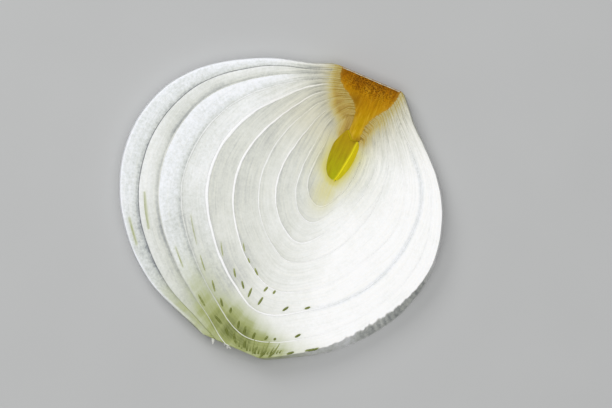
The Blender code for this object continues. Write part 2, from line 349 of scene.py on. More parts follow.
def flesh_tone(number, share, height, distance, bearing):
    """Paleness of the flesh and its tints, from painted light and shade and from how green or near
    the root it is.

    All windows are bearings in degrees or distances from the growing point or an edge in mm.
    """
    x, y = plan(distance, bearing)
    upwards = (y - growing_point[1]) / MM
    inside = reach(number, bearing) if number <= SCALE_COUNT else 0
    width = np.maximum(reach(number - 1, bearing) - inside, 0.5 * MM)
    from_inner, from_outer = share * width / MM, (1 - share) * width / MM
    far = distance / MM
    left = smooth(38, 60, bearing) * smooth(172, 150, bearing)
    right = smooth(158, 203, bearing) * smooth(348, 282, bearing)
    middle = 0.3 + 0.27 * smooth(60, 120, bearing) * smooth(350, 300, bearing)
    right_paleness = np.interp(far, (4, 10, 16, 22), (0.56, 0.82, 0.95, 1.0))
    # Painted light and shade: banded and greyer on the left and nearly white on the right, standing
    # in for light shining through the slice; paler at the upper left, greyer at the lower left and
    # round the shoot
    pale = middle + (LEFT_BANDS[number - 1] - middle) * left + (right_paleness - middle) * right
    pale += 0.12 * smooth(95, 70, bearing) * smooth(24, 30, far)
    pale += 0.06 * bell(158, 20, bearing) * smooth(12, 17, far) * smooth(42, 35, far)
    pale -= 0.19 * smooth(118, 135, bearing) * smooth(175, 160, bearing) * (number <= 4)
    pale -= 0.12 * bell(40, 10, bearing) * smooth(34, 24, far)
    pale -= 0.1 * bell(88, 28, bearing) * smooth(16, 10, far)
    pale -= 0.14 * bell(156, 8, bearing) * smooth(30, 38, far)
    pale += 0.16 * smooth(98, 112, bearing) * smooth(165, 150, bearing) * (number == 2)
    # Beside the seams the outer scales get painted shade along their inner side and painted light
    # along their outer one; the inner scales have only a faint painted shade and light along their
    # sides
    along_left = smooth(40, 70, bearing) * smooth(190, 160, bearing)
    if number <= 3:
        pale -= along_left * INNER_SHADE[number - 1] * np.exp(-((from_inner / 1.1) ** 1.5))
        pale += along_left * OUTER_LIGHT[number - 1] * np.exp(-from_outer / 1.2)
    else:
        pale -= along_left * 0.2 * np.exp(-from_outer / 0.9)
        pale += along_left * 0.12 * np.exp(-from_inner / 0.9)
    # Painted highlight along the outer rim of the outermost scale
    if number == 1:
        pale += 0.3 * np.exp(-((from_outer / 0.45) ** 2))
    # Painted bluish shade over the bands on the left of the slice
    cool = LEFT_BLUISH_SHADE[number - 1] * left
    # Painted shadow of the seam between the fourth and fifth scales on the right: a greyer, bluish
    # line
    if number in (4, 5):
        from_seam = from_outer if number == 5 else from_inner
        on_right = smooth(184, 202, bearing) * smooth(318, 290, bearing)
        line = np.exp(-((from_seam / 0.55) ** 2)) * on_right
        pale -= 0.17 * line
        cool = np.maximum(cool, 0.9 * line)
    # The lowest edge of the outer wall at the lower right is painted grey and mottled: painted shade
    # where dark shows through the thin, see-through wall
    if number == 3:
        see_through_shade = smooth(1.0, 0.86, height) * (share > 0.99)
        see_through_shade = see_through_shade * smooth(180, 192, bearing) * smooth(246, 236, bearing)
        darkest = 0.32 + 0.68 * smooth(202, 214, bearing)
        mottle = 0.5 * waves(bearing * 1.3, 4) + 0.5 * waves(bearing * 2.9 + height * 6, 9)
        mottle += 0.35 * waves(bearing * 6.1, 3)
        mottle -= 0.9 * smooth(0.1, 0.7, waves(bearing * 0.55, 5))
        by_table = 1 - 0.6 * smooth(0.2, 0.0, height)
        pale -= see_through_shade * (0.72 * darkest + 0.32 * mottle) * by_table
        cool = np.maximum(cool, 0.35 * see_through_shade)
    # Green and darker towards the neck
    to_right = smooth(163, 184, bearing)
    start = 39 + 3 * to_right - 3 * smooth(160, 146, bearing)
    low = smooth(start, start + 11 - 2 * to_right, far)
    low *= bell(GREEN_BEARING, 17 + 4 * (bearing > GREEN_BEARING), bearing)
    low *= 1 - 0.6 * smooth(48.5, 52, far) * smooth(160, 150, bearing)
    low *= 1 - 0.15 * bell(160, 5, bearing) - 0.3 * smooth(51, 53.5, far)
    if number == 1:
        low = np.maximum(low, 0.5 * smooth(140, 156, bearing) * smooth(0.1, 0.9, from_outer))
    green = low * (0.9 + 0.14 * waves(bearing * 1.1, number))
    # Brown towards the plate, yellow round the shoot and under its tip
    outside = outside_axis(x, y) / MM
    by_root = smooth(2, 8, upwards)
    brown = 0.75 * np.exp(-np.maximum(outside - 0.7, 0) / 1.5)
    brown *= 1 - 0.5 * smooth(11.5, 15, upwards)
    brown += 0.45 * np.exp(-outside / 8)
    brown = np.minimum(brown, 0.85)
    to_side = (x - growing_point[0]) / MM
    brown *= by_root * (1 - 0.3 * right) * (0.72 + 0.28 * smooth(5, 0, to_side))
    brown *= 1 - 0.6 * smooth(30, 44, bearing) * smooth(110, 80, bearing)
    brown += 0.17 * bell(62, 34, bearing) * smooth(30, 14, far)
    fan = np.exp(-outside / 9) * smooth(-8, 6, upwards)
    yellow = 0.8 * np.exp(-outside / 2.5) * smooth(9, 4, upwards)
    tail = np.hypot(to_side + 1.9, (upwards + 7.0) / 1.7)
    yellow = np.maximum(yellow, 0.42 * smooth(6.2, 0.5, tail))
    for vein_number, *ends in VEINS:
        if vein_number == number:
            halo = np.exp(-((from_vein(ends, number, x, y) / (0.35 * MM)) ** 2))
            green = np.maximum(green, (0.16 + 0.34 * smooth(40, 54, far)) * halo)
    tones = dict(zip(TINTS, (pale, cool, green, brown, yellow, fan)))
    return {tint: np.clip(np.broadcast_to(values, x.shape), 0, 1) for tint, values in tones.items()}


def paint(mesh, tones):
    for tint, values in tones.items():
        set_numbers(mesh, tint, values)


def make_scale(number):
    share, height = scale_ring()
    first, last = scale_limits(number, share, height)
    along = np.linspace(0, 1, ROWS_ALONG)[:, None]
    bearing = first + (last - first) * along
    share = np.broadcast_to(share, bearing.shape)
    height = np.broadcast_to(height, bearing.shape)
    distance, width = scale_distance(number, share, height, bearing)
    x, y = plan(distance, bearing)
    # The knife leaves each band a little crowned, with soft edges and fine ridges along it
    top = face_height(number, bearing)
    ease = np.minimum(EASE * (1 - 0.8 * thin_side(bearing)), 0.3 * width)
    from_edge = np.minimum(share, 1 - share) * width
    bite = ease * (1 - np.sqrt(1 - (1 - np.minimum(from_edge / ease, 1)) ** 2))
    crown = CROWN * (1 - (2 * share - 1) ** 4) * (0.8 + 0.2 * waves(bearing * 0.3, number))
    crown *= 1 - 0.5 * thin_side(bearing)
    ridges = RIDGE * waves(share * 22 + waves(bearing * 0.11, number + 3), number)
    upper = top + crown + ridges * np.minimum(from_edge / ease, 1) - bite
    lower = bite - UNDERSIDE
    z = np.where(height == 1, upper, np.where(height == 0, lower, ease + (top - 2 * ease) * height))
    name = f"scale_{number:02d}"
    mesh = closed_tube(name + "_flesh", np.stack([x, y, z], axis=-1))
    paint(mesh, flesh_tone(number, share, height, distance, bearing))
    travelled = np.radians(bearing) * distance
    set_vectors(mesh, "grain", np.stack([travelled, share * width, z], axis=-1) / MM)
    return mesh


FULL_LIGHT = 1.1
BRIGHTEST = 0.93


def display_colour(red, green, blue):
    """A finish seen as this display colour under the studio light."""
    channels = []
    for channel in (red, green, blue):
        c = channel / 255
        linear = c / 12.92 if c <= 0.04045 else ((c + 0.055) / 1.055) ** 2.4
        channels.append(min(linear / FULL_LIGHT, BRIGHTEST))
    return (*channels, 1.0)


class Finish:
    """A material under construction: adds nodes and joins them."""

    def __init__(self, name):
        self.material = bpy.data.materials.new(name)
        self.material.use_nodes = True
        self.tree = self.material.node_tree
        self.shader = self.tree.nodes["Principled BSDF"]

    def join(self, source, socket):
        if isinstance(source, bpy.types.NodeSocket):
            self.tree.links.new(source, socket)
        else:
            socket.default_value = source

    def add(self, kind, settings=None, **inputs):
        node = self.tree.nodes.new(kind)
        for key, value in (settings or {}).items():
            setattr(node, key, value)
        for key, value in inputs.items():
            self.join(value, node.inputs[key.replace("_", " ")])
        return node

    def attribute(self, name):
        return self.add("ShaderNodeAttribute", {"attribute_name": name}).outputs["Fac"]

    def maths(self, operation, *values):
        node = self.add("ShaderNodeMath", {"operation": operation})
        for value, socket in zip(values, node.inputs):
            self.join(value, socket)
        return node.outputs[0]

    def difference(self, first, second, strength):
        return self.maths("MULTIPLY", self.maths("SUBTRACT", first, second), strength)

    def vary(self, value, pattern, depth, centre=0.5):
        """The value, moved up and down by a pattern around its centre."""
        return self.maths("MULTIPLY_ADD", self.maths("SUBTRACT", pattern, centre), depth, value)

    def noise(self, vector, scale, detail=2.0, roughness=0.5):
        node = self.add("ShaderNodeTexNoise", Vector=vector, Scale=scale, Detail=detail,
                        Roughness=roughness)
        return node.outputs["Fac"]

    def stretch(self, vector, scale):
        return self.add("ShaderNodeMapping", Vector=vector, Scale=scale).outputs[0]

    def mix(self, factor, first, second, kind="MIX"):
        settings = {"data_type": "RGBA", "blend_type": kind, "clamp_factor": True}
        node = self.add("ShaderNodeMix", settings)
        self.join(factor, node.inputs[0])
        self.join(first, node.inputs[6])
        self.join(second, node.inputs[7])
        return node.outputs[2]

    def ramp(self, factor, stops):
        """A colour ramp through stops, each its place and its display colour."""
        node = self.add("ShaderNodeValToRGB", Fac=factor)
        elements = node.color_ramp.elements
        while len(elements) < len(stops):
            elements.new(0.5)
        for element, (position, *shown) in zip(elements, stops):
            element.position = position
            element.color = display_colour(*shown)
        return node.outputs["Color"]

    def bump(self, height, distance, strength=1.0):
        node = self.add("ShaderNodeBump", Height=height, Distance=distance, Strength=strength)
        self.join(node.outputs[0], self.shader.inputs["Normal"])

    def surface(self, **inputs):
        """Sets the shader's inputs, each to a constant or from a socket."""
        for key, value in inputs.items():
            self.join(value, self.shader.inputs[key.replace("_", " ")])


BLUISH_SHADE_TINT = (0.9, 0.93, 1.0, 1.0)


def flesh_finish(name, light_inside):
    """Wet onion flesh or skin: pale, a little see-through, with long fibres and small cells."""
    finish = Finish(name)
    grain = finish.add("ShaderNodeAttribute", {"attribute_name": "grain"}).outputs["Vector"]
    place = finish.add("ShaderNodeTexCoord").outputs["Object"]
    fibres = finish.noise(finish.stretch(grain, (0.08, 2.2, 0.6)), 1.0, 3.0, 0.65)
    patches = finish.noise(place, 260.0, 3.0, 0.55)
    speckle = finish.noise(place, 1300.0, 3.0, 0.7)
    cells = finish.add("ShaderNodeTexVoronoi", Vector=place, Scale=1900.0).outputs["Distance"]
    pale = finish.attribute("pale")
    cool = finish.attribute("cool")
    streak_depth = finish.maths("MULTIPLY_ADD", finish.attribute("fan"), 2.2, 0.42)
    speckle_depth = finish.maths("MULTIPLY_ADD", cool, 0.75, 0.18)
    varied = finish.vary(pale, fibres, streak_depth)
    varied = finish.vary(varied, patches, 0.32)
    varied = finish.vary(varied, speckle, speckle_depth)
    varied = finish.vary(varied, cells, -0.08, 0.4)
    colour = finish.ramp(varied, (
        (0.0, 118, 122, 126),
        (0.2, 176, 179, 175),
        (0.5, 218, 220, 212),
        (0.8, 242, 243, 240),
        (1.0, 255, 255, 255),
    ))
    # Painted bluish shade: the colour is multiplied towards blue-grey where the flesh is painted
    # bluish
    colour = finish.mix(finish.maths("MULTIPLY", cool, 0.8), colour, BLUISH_SHADE_TINT, "MULTIPLY")
    yellow = finish.vary(finish.attribute("yellow"), fibres, 0.3)
    yellow_colour = finish.ramp(yellow, (
        (0.0, 220, 218, 184),
        (0.5, 212, 205, 120),
        (1.0, 196, 178, 30),
    ))
    colour = finish.mix(finish.maths("MULTIPLY", yellow, 1.8), colour, yellow_colour)
    brown = finish.maths("MULTIPLY", finish.attribute("brown"),
                         finish.maths("MULTIPLY_ADD", fibres, 0.8, 0.6))
    brown_colour = finish.ramp(brown, (
        (0.0, 206, 202, 176),
        (0.5, 194, 182, 122),
        (0.75, 184, 158, 66),
        (1.0, 156, 122, 8),
    ))
    colour = finish.mix(finish.maths("MULTIPLY", brown, 2.0), colour, brown_colour)
    green = finish.attribute("green")
    green = finish.maths("MULTIPLY", green, finish.maths("MULTIPLY_ADD", fibres, 0.7, 0.65))
    green_colour = finish.ramp(green, (
        (0.0, 212, 215, 190),
        (0.35, 190, 196, 158),
        (0.65, 156, 164, 96),
        (1.0, 100, 110, 24),
    ))
    colour = finish.mix(finish.maths("MULTIPLY", green, 2.0), colour, green_colour)
    relief = finish.maths("MULTIPLY_ADD", fibres, 0.7, finish.maths("MULTIPLY", cells, 0.25))
    finish.bump(relief, 0.06 * MM)
    finish.surface(
        Base_Color=colour, Roughness=finish.maths("MULTIPLY_ADD", patches, 0.25, 0.26),
        Specular_IOR_Level=0.3, Subsurface_Weight=light_inside,
        Subsurface_Radius=(1.0, 0.95, 0.9), Subsurface_Scale=0.35 * MM,
    )
    return finish.material


def show(name, mesh, material, slot, *nodes):
    """Links a finished mesh as a piece that rides with the slice."""
    piece = bpy.data.objects.new(name, mesh)
    bpy.context.scene.collection.objects.link(piece)
    mesh.materials.clear()
    mesh.materials.append(material)
    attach(piece, "root")
    if nodes:
        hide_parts(*nodes)
    return piece


flesh = flesh_finish("onion_flesh", 0.25)
young_flesh = flesh_finish("young_onion_flesh", 0.25)
film = flesh_finish("onion_skin_film", 0.0)
for number in range(1, SCALE_COUNT + 1):
    node = f"scale_{number:02d}"
    young = number == SCALE_COUNT
    show(node + "_flesh", make_scale(number), young_flesh if young else flesh,
         "young_flesh" if young else "flesh", node)

# Young leaf
# The innermost pale leaf, soft and cream-coloured, fills the middle of the bulb. It is one body
# of flesh, wrapped round the shoot and grown on to the stem plate.
WELD = 0.01 * MM


def vertices_of(mesh):
    places = np.empty(len(mesh.vertices) * 3)
    mesh.vertices.foreach_get("co", places)
    return places.reshape(-1, 3)


def fine_copy(node, voxel, rounds, growth, top):
    """A closed, evenly meshed copy of a CAD node with soft corners, grown sideways to touch."""
    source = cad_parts[node]
    mesh = source.data.copy()
    bm = bmesh.new()
    bm.from_mesh(mesh)
    bmesh.ops.remove_doubles(bm, verts=bm.verts, dist=WELD)
    bmesh.ops.recalc_face_normals(bm, faces=bm.faces)
    bm.to_mesh(mesh)
    bm.free()
    draft = bpy.data.objects.new(node + "_draft", mesh)
    bpy.context.scene.collection.objects.link(draft)
    remesh = draft.modifiers.new("even_mesh", "REMESH")
    remesh.mode = "VOXEL"
    remesh.voxel_size = voxel
    worn = draft.modifiers.new("worn_corners", "SMOOTH")
    worn.factor = 0.5
    worn.iterations = rounds
    bpy.context.view_layer.update()
    evaluated = draft.evaluated_get(bpy.context.evaluated_depsgraph_get())
    result = bpy.data.meshes.new_from_object(evaluated)
    bpy.data.objects.remove(draft)
    places, normals = vertices_of(result), np.empty(len(result.vertices) * 3)
    result.vertices.foreach_get("normal", normals)
    places[:, :2] += normals.reshape(-1, 3)[:, :2] * growth
    places[:, 1] = np.minimum(places[:, 1], cad_high.y)
    # The knife's face is level right up to its edges
    highest = places[:, 2].max()
    places[places[:, 2] > highest - 1.3 * voxel, 2] = highest
    places[:, 2] = np.maximum(places[:, 2] * top / highest, -UNDERSIDE)
    result.vertices.foreach_set("co", places.ravel())
    result.update()
    result.shade_smooth()
    result.set_sharp_from_angle(angle=KNIFE_ANGLE)
    return result


def bearings_of(places):
    """Distance and bearing of each place from the growing point."""
    x, y = places[:, 0] - growing_point[0], places[:, 1] - growing_point[1]
    return np.hypot(x, y), np.degrees(np.arctan2(-x, y)) % 360


LEAF_GRAIN = 0.15 * MM
LEAF_TOP = THICKNESS - PROUD - CROWN
TOUCH = 0.16 * MM
leaf_mesh = fine_copy("young_leaf", LEAF_GRAIN, 2, TOUCH, LEAF_TOP)
leaf_places = vertices_of(leaf_mesh)
leaf_distance, leaf_bearing = bearings_of(leaf_places)
leaf_share = np.clip(leaf_distance / reach(9, leaf_bearing), 0, 1)
paint(leaf_mesh, flesh_tone(10, leaf_share, np.ones(len(leaf_share)), leaf_distance, leaf_bearing))
set_vectors(leaf_mesh, "grain", np.stack(
    [leaf_places[:, 1], leaf_places[:, 0], leaf_places[:, 2]], axis=-1) / MM)
show("young_leaf_flesh", leaf_mesh, young_flesh, "young_flesh", "young_leaf")

# Stem plate
# The plate is the onion's true stem: hard brown cork where the roots were trimmed off, and
# firm golden tissue where it runs inwards as a short stalk under the shoot.
PLATE_GRAIN = 0.13 * MM
PLATE_TOP = THICKNESS - PROUD - 0.7 * CROWN
plate_mesh = fine_copy("basal_plate", PLATE_GRAIN, 2, 1.5 * TOUCH, PLATE_TOP)
plate_places = vertices_of(plate_mesh)
from_cut = (cad_high.y - plate_places[:, 1]) / MM
from_left = (plate_places[:, 0] - np.interp(plate_places[:, 1], *left_flank)) / MM
from_right = (np.interp(plate_places[:, 1], *right_flank) - plate_places[:, 0]) / MM
set_numbers(plate_mesh, "from_cut", from_cut)
set_numbers(plate_mesh, "border", 1 - smooth(-0.3, 0.9, np.minimum(from_left, from_right)))


def near_spot(places, right, up, width):
    """Nearness, 0 to 1, to a spot given in mm from the growing point."""
    across = places[:, 0] - growing_point[0] - right * MM
    along = places[:, 1] - growing_point[1] - up * MM
    return np.exp(-(np.hypot(across, along) / (width * MM)) ** 2)


knots = np.maximum(near_spot(plate_places, -4.4, 15.6, 1.9),
                   near_spot(plate_places, 0.5, 6.9, 1.0))
set_numbers(plate_mesh, "knot", knots)
speck_field = near_spot(plate_places, -0.5, 21.5, 6.5)
speck_field += 0.4 * near_spot(plate_places, -6.0, 21.0, 4.0)
set_numbers(plate_mesh, "specks", np.clip(speck_field, 0, 1) * smooth(7.0, 2.5, from_cut))
cork = Finish("cork")
place = cork.add("ShaderNodeTexCoord").outputs["Object"]
depth = cork.attribute("from_cut")
streaks = cork.noise(cork.stretch(place, (1500.0, 240.0, 700.0)), 1.0, 4.0, 0.65)
blotches = cork.noise(place, 420.0, 4.0, 0.65)
wavy_depth = cork.vary(depth, blotches, 9.0)
colour = cork.ramp(cork.maths("DIVIDE", wavy_depth, 16.0), (
    (0.0, 144, 90, 0),
    (0.12, 168, 108, 0),
    (0.26, 184, 128, 0),
    (0.6, 184, 140, 0),
    (1.0, 194, 160, 0),
))
golden = cork.difference(streaks, 0.5, cork.maths("MULTIPLY_ADD", depth, 0.2, 0.7))
colour = cork.mix(golden, colour, display_colour(226, 186, 60))
dark_streaks = cork.difference(0.47, streaks, 2.6)
colour = cork.mix(dark_streaks, colour, display_colour(122, 78, 0))
colour = cork.mix(cork.maths("MULTIPLY", cork.attribute("knot"), 0.65), colour,
                  display_colour(112, 72, 0))
speck_noise = cork.noise(place, 3600.0, 2.0, 0.6)
specks = cork.difference(speck_noise, 0.5, 9.0)
specks = cork.maths("MINIMUM", cork.maths("MAXIMUM", specks, 0.0), 1.0)
specks = cork.maths("MULTIPLY", specks, cork.attribute("specks"))
colour = cork.mix(cork.maths("MULTIPLY", specks, 0.8), colour, display_colour(84, 46, 0))
border = cork.maths("MULTIPLY", cork.attribute("border"),
                    cork.maths("MULTIPLY_ADD", blotches, 1.2, 0.1))
colour = cork.mix(cork.maths("MULTIPLY", border, 0.6), colour, display_colour(184, 148, 56))
cork.surface(Base_Color=colour, Roughness=0.62, Specular_IOR_Level=0.06)
cork.bump(cork.maths("ADD", streaks, cork.maths("MULTIPLY", specks, -0.8)), 0.12 * MM)
show("basal_plate_cork", plate_mesh, cork.material, "cork", "basal_plate")

# Shoot
# Two young green leaves that would have grown out of the neck, folded against each other
# along a bright rib. They are soft, juicy and yellow, with the green only starting.


def leaf_finish(name, base, tip, vein):
    finish = Finish(name)
    place = finish.add("ShaderNodeTexCoord").outputs["Object"]
    fibres = finish.noise(finish.stretch(place, (1300.0, 150.0, 500.0)), 1.0, 2.0, 0.55)
    patches = finish.noise(place, 380.0, 2.0, 0.5)
    colour = finish.mix(finish.attribute("towards_tip"), base, tip)
    colour = finish.mix(finish.difference(fibres, 0.45, 2.2), colour, vein)
    colour = finish.mix(finish.difference(patches, 0.3, 0.7), colour, display_colour(190, 168, 6))
    colour = finish.mix(finish.attribute("knot"), colour, display_colour(124, 88, 0))
    colour = finish.mix(finish.attribute("rib"), colour, display_colour(236, 222, 30))
    finish.surface(
        Base_Color=colour, Roughness=0.45, Specular_IOR_Level=0.06, Subsurface_Weight=0.2,
        Subsurface_Radius=(1.0, 0.9, 0.3), Subsurface_Scale=0.3 * MM,
    )
    finish.bump(fibres, 0.08 * MM)
    return finish.material


LEAVES = (
    ("shoot_leaf_left", display_colour(174, 142, 0), display_colour(170, 172, 0),
     display_colour(146, 118, 0)),
    ("shoot_leaf_right", display_colour(204, 182, 0), display_colour(198, 190, 8),
     display_colour(222, 208, 20)),
)
SHOOT_GRAIN = 0.1 * MM
SHOOT_TOP = THICKNESS - PROUD - 0.9 * CROWN
# The bright rib in mm, up from the growing point and to the right of it
RIB_UP = (-4.4, -2.8, 0.6, 3.4, 6.4)
RIB_RIGHT = (-0.8, -0.45, 0.05, 0.45, 0.6)
for node, base, tip, vein in LEAVES:
    mesh = fine_copy(node, SHOOT_GRAIN, 1, 1.2 * TOUCH, SHOOT_TOP)
    places = vertices_of(mesh)
    low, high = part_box(node)
    set_numbers(mesh, "towards_tip", smooth(high.y, low.y, places[:, 1]))
    rib_x = growing_point[0] + np.interp(
        places[:, 1] - growing_point[1], np.array(RIB_UP) * MM, np.array(RIB_RIGHT) * MM)
    set_numbers(mesh, "rib", bell(0, 0.3 * MM, places[:, 0] - rib_x) * 0.9)
    set_numbers(mesh, "knot", 0.7 * near_spot(places, 0.4, 6.4, 0.9))
    show(node + "_flesh", mesh, leaf_finish(node, base, tip, vein), "shoot", node)

# Skins between the scales
# Each scale is wrapped in a skin as thin as film, and two of them meet in every seam. The knife
# leaves them standing a hair proud as fine glassy lines, widest on the thick side of the slice.
# Their paleness is partly their own colour and partly a painted highlight; the outermost seam is
# painted darker as shade in its open gap.


NOISE_MIDDLE = (0.5, 0.5, 0.5)
# A thread wanders mostly within the slice's plane
WANDER_SHARES = (2.0, 2.0, 0.3)


def strand_tree():
    """Geometry Nodes: a flat thread is swept along every line and wanders a little."""
    tree = bpy.data.node_groups.new("threads_along_lines", "GeometryNodeTree")
    face = tree.interface
    face.new_socket("Geometry", in_out="INPUT", socket_type="NodeSocketGeometry")
    for label, kind, value in (
        ("Flatness", "NodeSocketFloat", 0.5), ("Wander", "NodeSocketFloat", 0.0001),
        ("Waves per metre", "NodeSocketFloat", 400.0), ("Seed", "NodeSocketFloat", 1.0),
    ):
        face.new_socket(label, in_out="INPUT", socket_type=kind).default_value = value
    face.new_socket("Finish", in_out="INPUT", socket_type="NodeSocketMaterial")
    face.new_socket("Geometry", in_out="OUTPUT", socket_type="NodeSocketGeometry")
    nodes, links = tree.nodes, tree.links
    given, made = nodes.new("NodeGroupInput"), nodes.new("NodeGroupOutput")

    def add(kind, settings=None, **inputs):
        node = nodes.new("GeometryNode" + kind if not kind.startswith("Shader") else kind)
        for key, value in (settings or {}).items():
            setattr(node, key, value)
        for key, value in inputs.items():
            socket = node.inputs[key.replace("_", " ")]
            if isinstance(value, bpy.types.NodeSocket):
                links.new(value, socket)
            else:
                socket.default_value = value
        return node

    def with_vector(operation, vector, other):
        node = add("ShaderNodeVectorMath", {"operation": operation}, Vector=vector)
        node.inputs[1].default_value = other
        return node.outputs[0]

    width = add("InputNamedAttribute", {"data_type": "FLOAT"}, Name="width").outputs["Attribute"]
    lines = add("MeshToCurve", Mesh=given.outputs["Geometry"]).outputs["Curve"]
    lines = add("SetCurveNormal", {"mode": "Z_UP"}, Curve=lines).outputs["Curve"]
    place = add("InputPosition").outputs["Position"]
    drift = add("ShaderNodeTexNoise", {"noise_dimensions": "4D"}, Vector=place,
                W=given.outputs["Seed"], Scale=given.outputs["Waves per metre"],
                Detail=2.0).outputs["Color"]
    level = with_vector("MULTIPLY", with_vector("SUBTRACT", drift, NOISE_MIDDLE), WANDER_SHARES)
    offset = add("ShaderNodeVectorMath", {"operation": "SCALE"}, Vector=level,
                 Scale=given.outputs["Wander"]).outputs[0]
    lines = add("SetPosition", Geometry=lines, Offset=offset).outputs["Geometry"]
    round_thread = add("CurvePrimitiveCircle", Resolution=8, Radius=1.0).outputs["Curve"]
    squash = add("ShaderNodeCombineXYZ", X=1.0, Y=given.outputs["Flatness"], Z=1.0)
    profile = add("Transform", Geometry=round_thread, Scale=squash.outputs["Vector"])
    thread = add("CurveToMesh", Curve=lines, Profile_Curve=profile.outputs["Geometry"],
                 Scale=width, Fill_Caps=True).outputs["Mesh"]
    thread = add("SetShadeSmooth", Geometry=thread).outputs["Geometry"]
    thread = add("RealizeInstances", Geometry=thread).outputs["Geometry"]
    thread = add("SetMaterial", Geometry=thread, Material=given.outputs["Finish"])
    links.new(thread.outputs["Geometry"], made.inputs["Geometry"])
    return tree


threads_along_lines = strand_tree()


def make_strands(name, lines, finish, slot, flatness, wander, waves_per_metre, seed):
    """One piece of threads along lines; a line is its points, half widths, grain and tones."""
    mesh = bpy.data.meshes.new(name)
    points = np.concatenate([line["points"] for line in lines])
    widths = np.concatenate([line["width"] for line in lines])
    points[:, 1] = np.minimum(points[:, 1], cad_high.y - widths - wander)
    starts = np.cumsum([0] + [len(line["points"]) for line in lines])
    edges = [(i, i + 1) for a, b in zip(starts, starts[1:]) for i in range(a, b - 1)]
    mesh.from_pydata(points.tolist(), edges, [])
    set_numbers(mesh, "width", widths)
    for tint in lines[0]["tones"]:
        set_numbers(mesh, tint, np.concatenate([line["tones"][tint] for line in lines]))
    set_vectors(mesh, "grain", points[:, [1, 0, 2]] / MM)
    draft = bpy.data.objects.new(name + "_lines", mesh)
    bpy.context.scene.collection.objects.link(draft)
    modifier = draft.modifiers.new("threads", "NODES")
    modifier.node_group = threads_along_lines
    values = {"Flatness": flatness, "Wander": wander, "Waves per metre": waves_per_metre,
              "Seed": seed, "Finish": finish}
    for socket in threads_along_lines.interface.items_tree:
        if socket.in_out == "INPUT" and socket.name in values:
            modifier[socket.identifier] = values[socket.name]
    bpy.context.view_layer.update()
    evaluated = draft.evaluated_get(bpy.context.evaluated_depsgraph_get())
    result = bpy.data.meshes.new_from_object(evaluated)
    result.name = name
    bpy.data.objects.remove(draft)
    return show(name, result, finish, slot)


def even_tones(count, **given):
    """The same tones all along a line; a tint that isn't given is left out."""
    return {tint: np.full(count, given.get(tint, 0.0)) for tint in TINTS}


def make_paler(line, amount):
    line["tones"]["pale"] = np.clip(line["tones"]["pale"] + amount, 0, 1)


def line_in_scale(number, shares, bearings, sunk, half_width):
    """A line on the upper face of a scale, with the flesh's own tones."""
    shares = np.broadcast_to(shares, bearings.shape)
    distance, _ = scale_distance(number, shares, np.ones(bearings.shape), bearings)
    x, y = plan(distance, bearings)
    z = np.minimum(face_height(number, bearings) - sunk, THICKNESS - PROUD)
    tones = flesh_tone(number, shares, np.ones(x.shape), distance, bearings)
    return {
        "points": np.stack([x, y, z], axis=-1),
        "width": np.broadcast_to(half_width, x.shape).copy(),
        "tones": {tint: values.copy() for tint, values in tones.items()},
    }


# For each seam its half width in mm, on the left and the right of the slice, and how much paler than
# the flesh beside it the skin shows there, partly the skin's own colour and partly a painted
# highlight; a negative value paints shade in the open gap
SKINS = {
    1: (0.07, 0.0, -0.5), 2: (0.16, 0.0, 0.25), 3: (0.2, 0.1, 0.3), 4: (0.4, 0.12, 0.6),
    5: (0.3, 0.1, 0.5), 6: (0.2, 0.08, 0.26), 7: (0.22, 0.14, 0.3), 8: (0.18, 0.1, 0.24),
    9: (0.24, 0.14, 0.15),
}
SKIN_STARTS, SKIN_ENDS = 6.0, {1: 166.0, 2: 171.0}
LAST_SKIN = 356.0
RIBBON = 0.17
INNER_SKIN_RAISED = 0.03 * MM
THINNEST_SKIN = 0.025
skin_lines = []
for edge, (left_width, right_width, paler) in SKINS.items():
    tried = np.arange(SKIN_STARTS, LAST_SKIN, 0.5)
    x, y = plan(edge_distance(edge, tried, 1.0), tried)
    tried = tried[beside_plate(x, y) & (tried < SKIN_ENDS.get(edge, LAST_SKIN))]
    # The skins thin out where the slice does, the inner ones sooner
    turn = smooth(165, 200, tried) if edge <= 4 else smooth(128, 175, tried)
    swell = 0.55 + 0.45 * bell(112, 42, tried)
    width = left_width * swell * (1 - turn) + right_width * turn
    width *= 1 + 0.25 * waves(tried * 0.21, edge)
    width *= smooth(SKIN_STARTS, 22, tried) * smooth(LAST_SKIN, 340, tried)
    width = np.maximum(width, THINNEST_SKIN) * MM
    own_height, next_height = face_height(edge, 0), face_height(min(edge + 1, SCALE_COUNT), 0)
    higher = max(own_height, next_height) - own_height
    if edge == SCALE_COUNT:
        higher = INNER_SKIN_RAISED
    line = line_in_scale(edge, 0.0, tried, -higher - 0.2 * EASE * (1 - turn), width)
    make_paler(line, paler * (1 - 0.85 * turn))
    make_paler(line, 0.3 * bell(170, 9, tried) * (edge > 1))
    line["tones"]["green"] *= 1.2 if edge == 1 else 0.32
    line["tones"]["cool"] *= 0.4
    skin_lines.append(line)
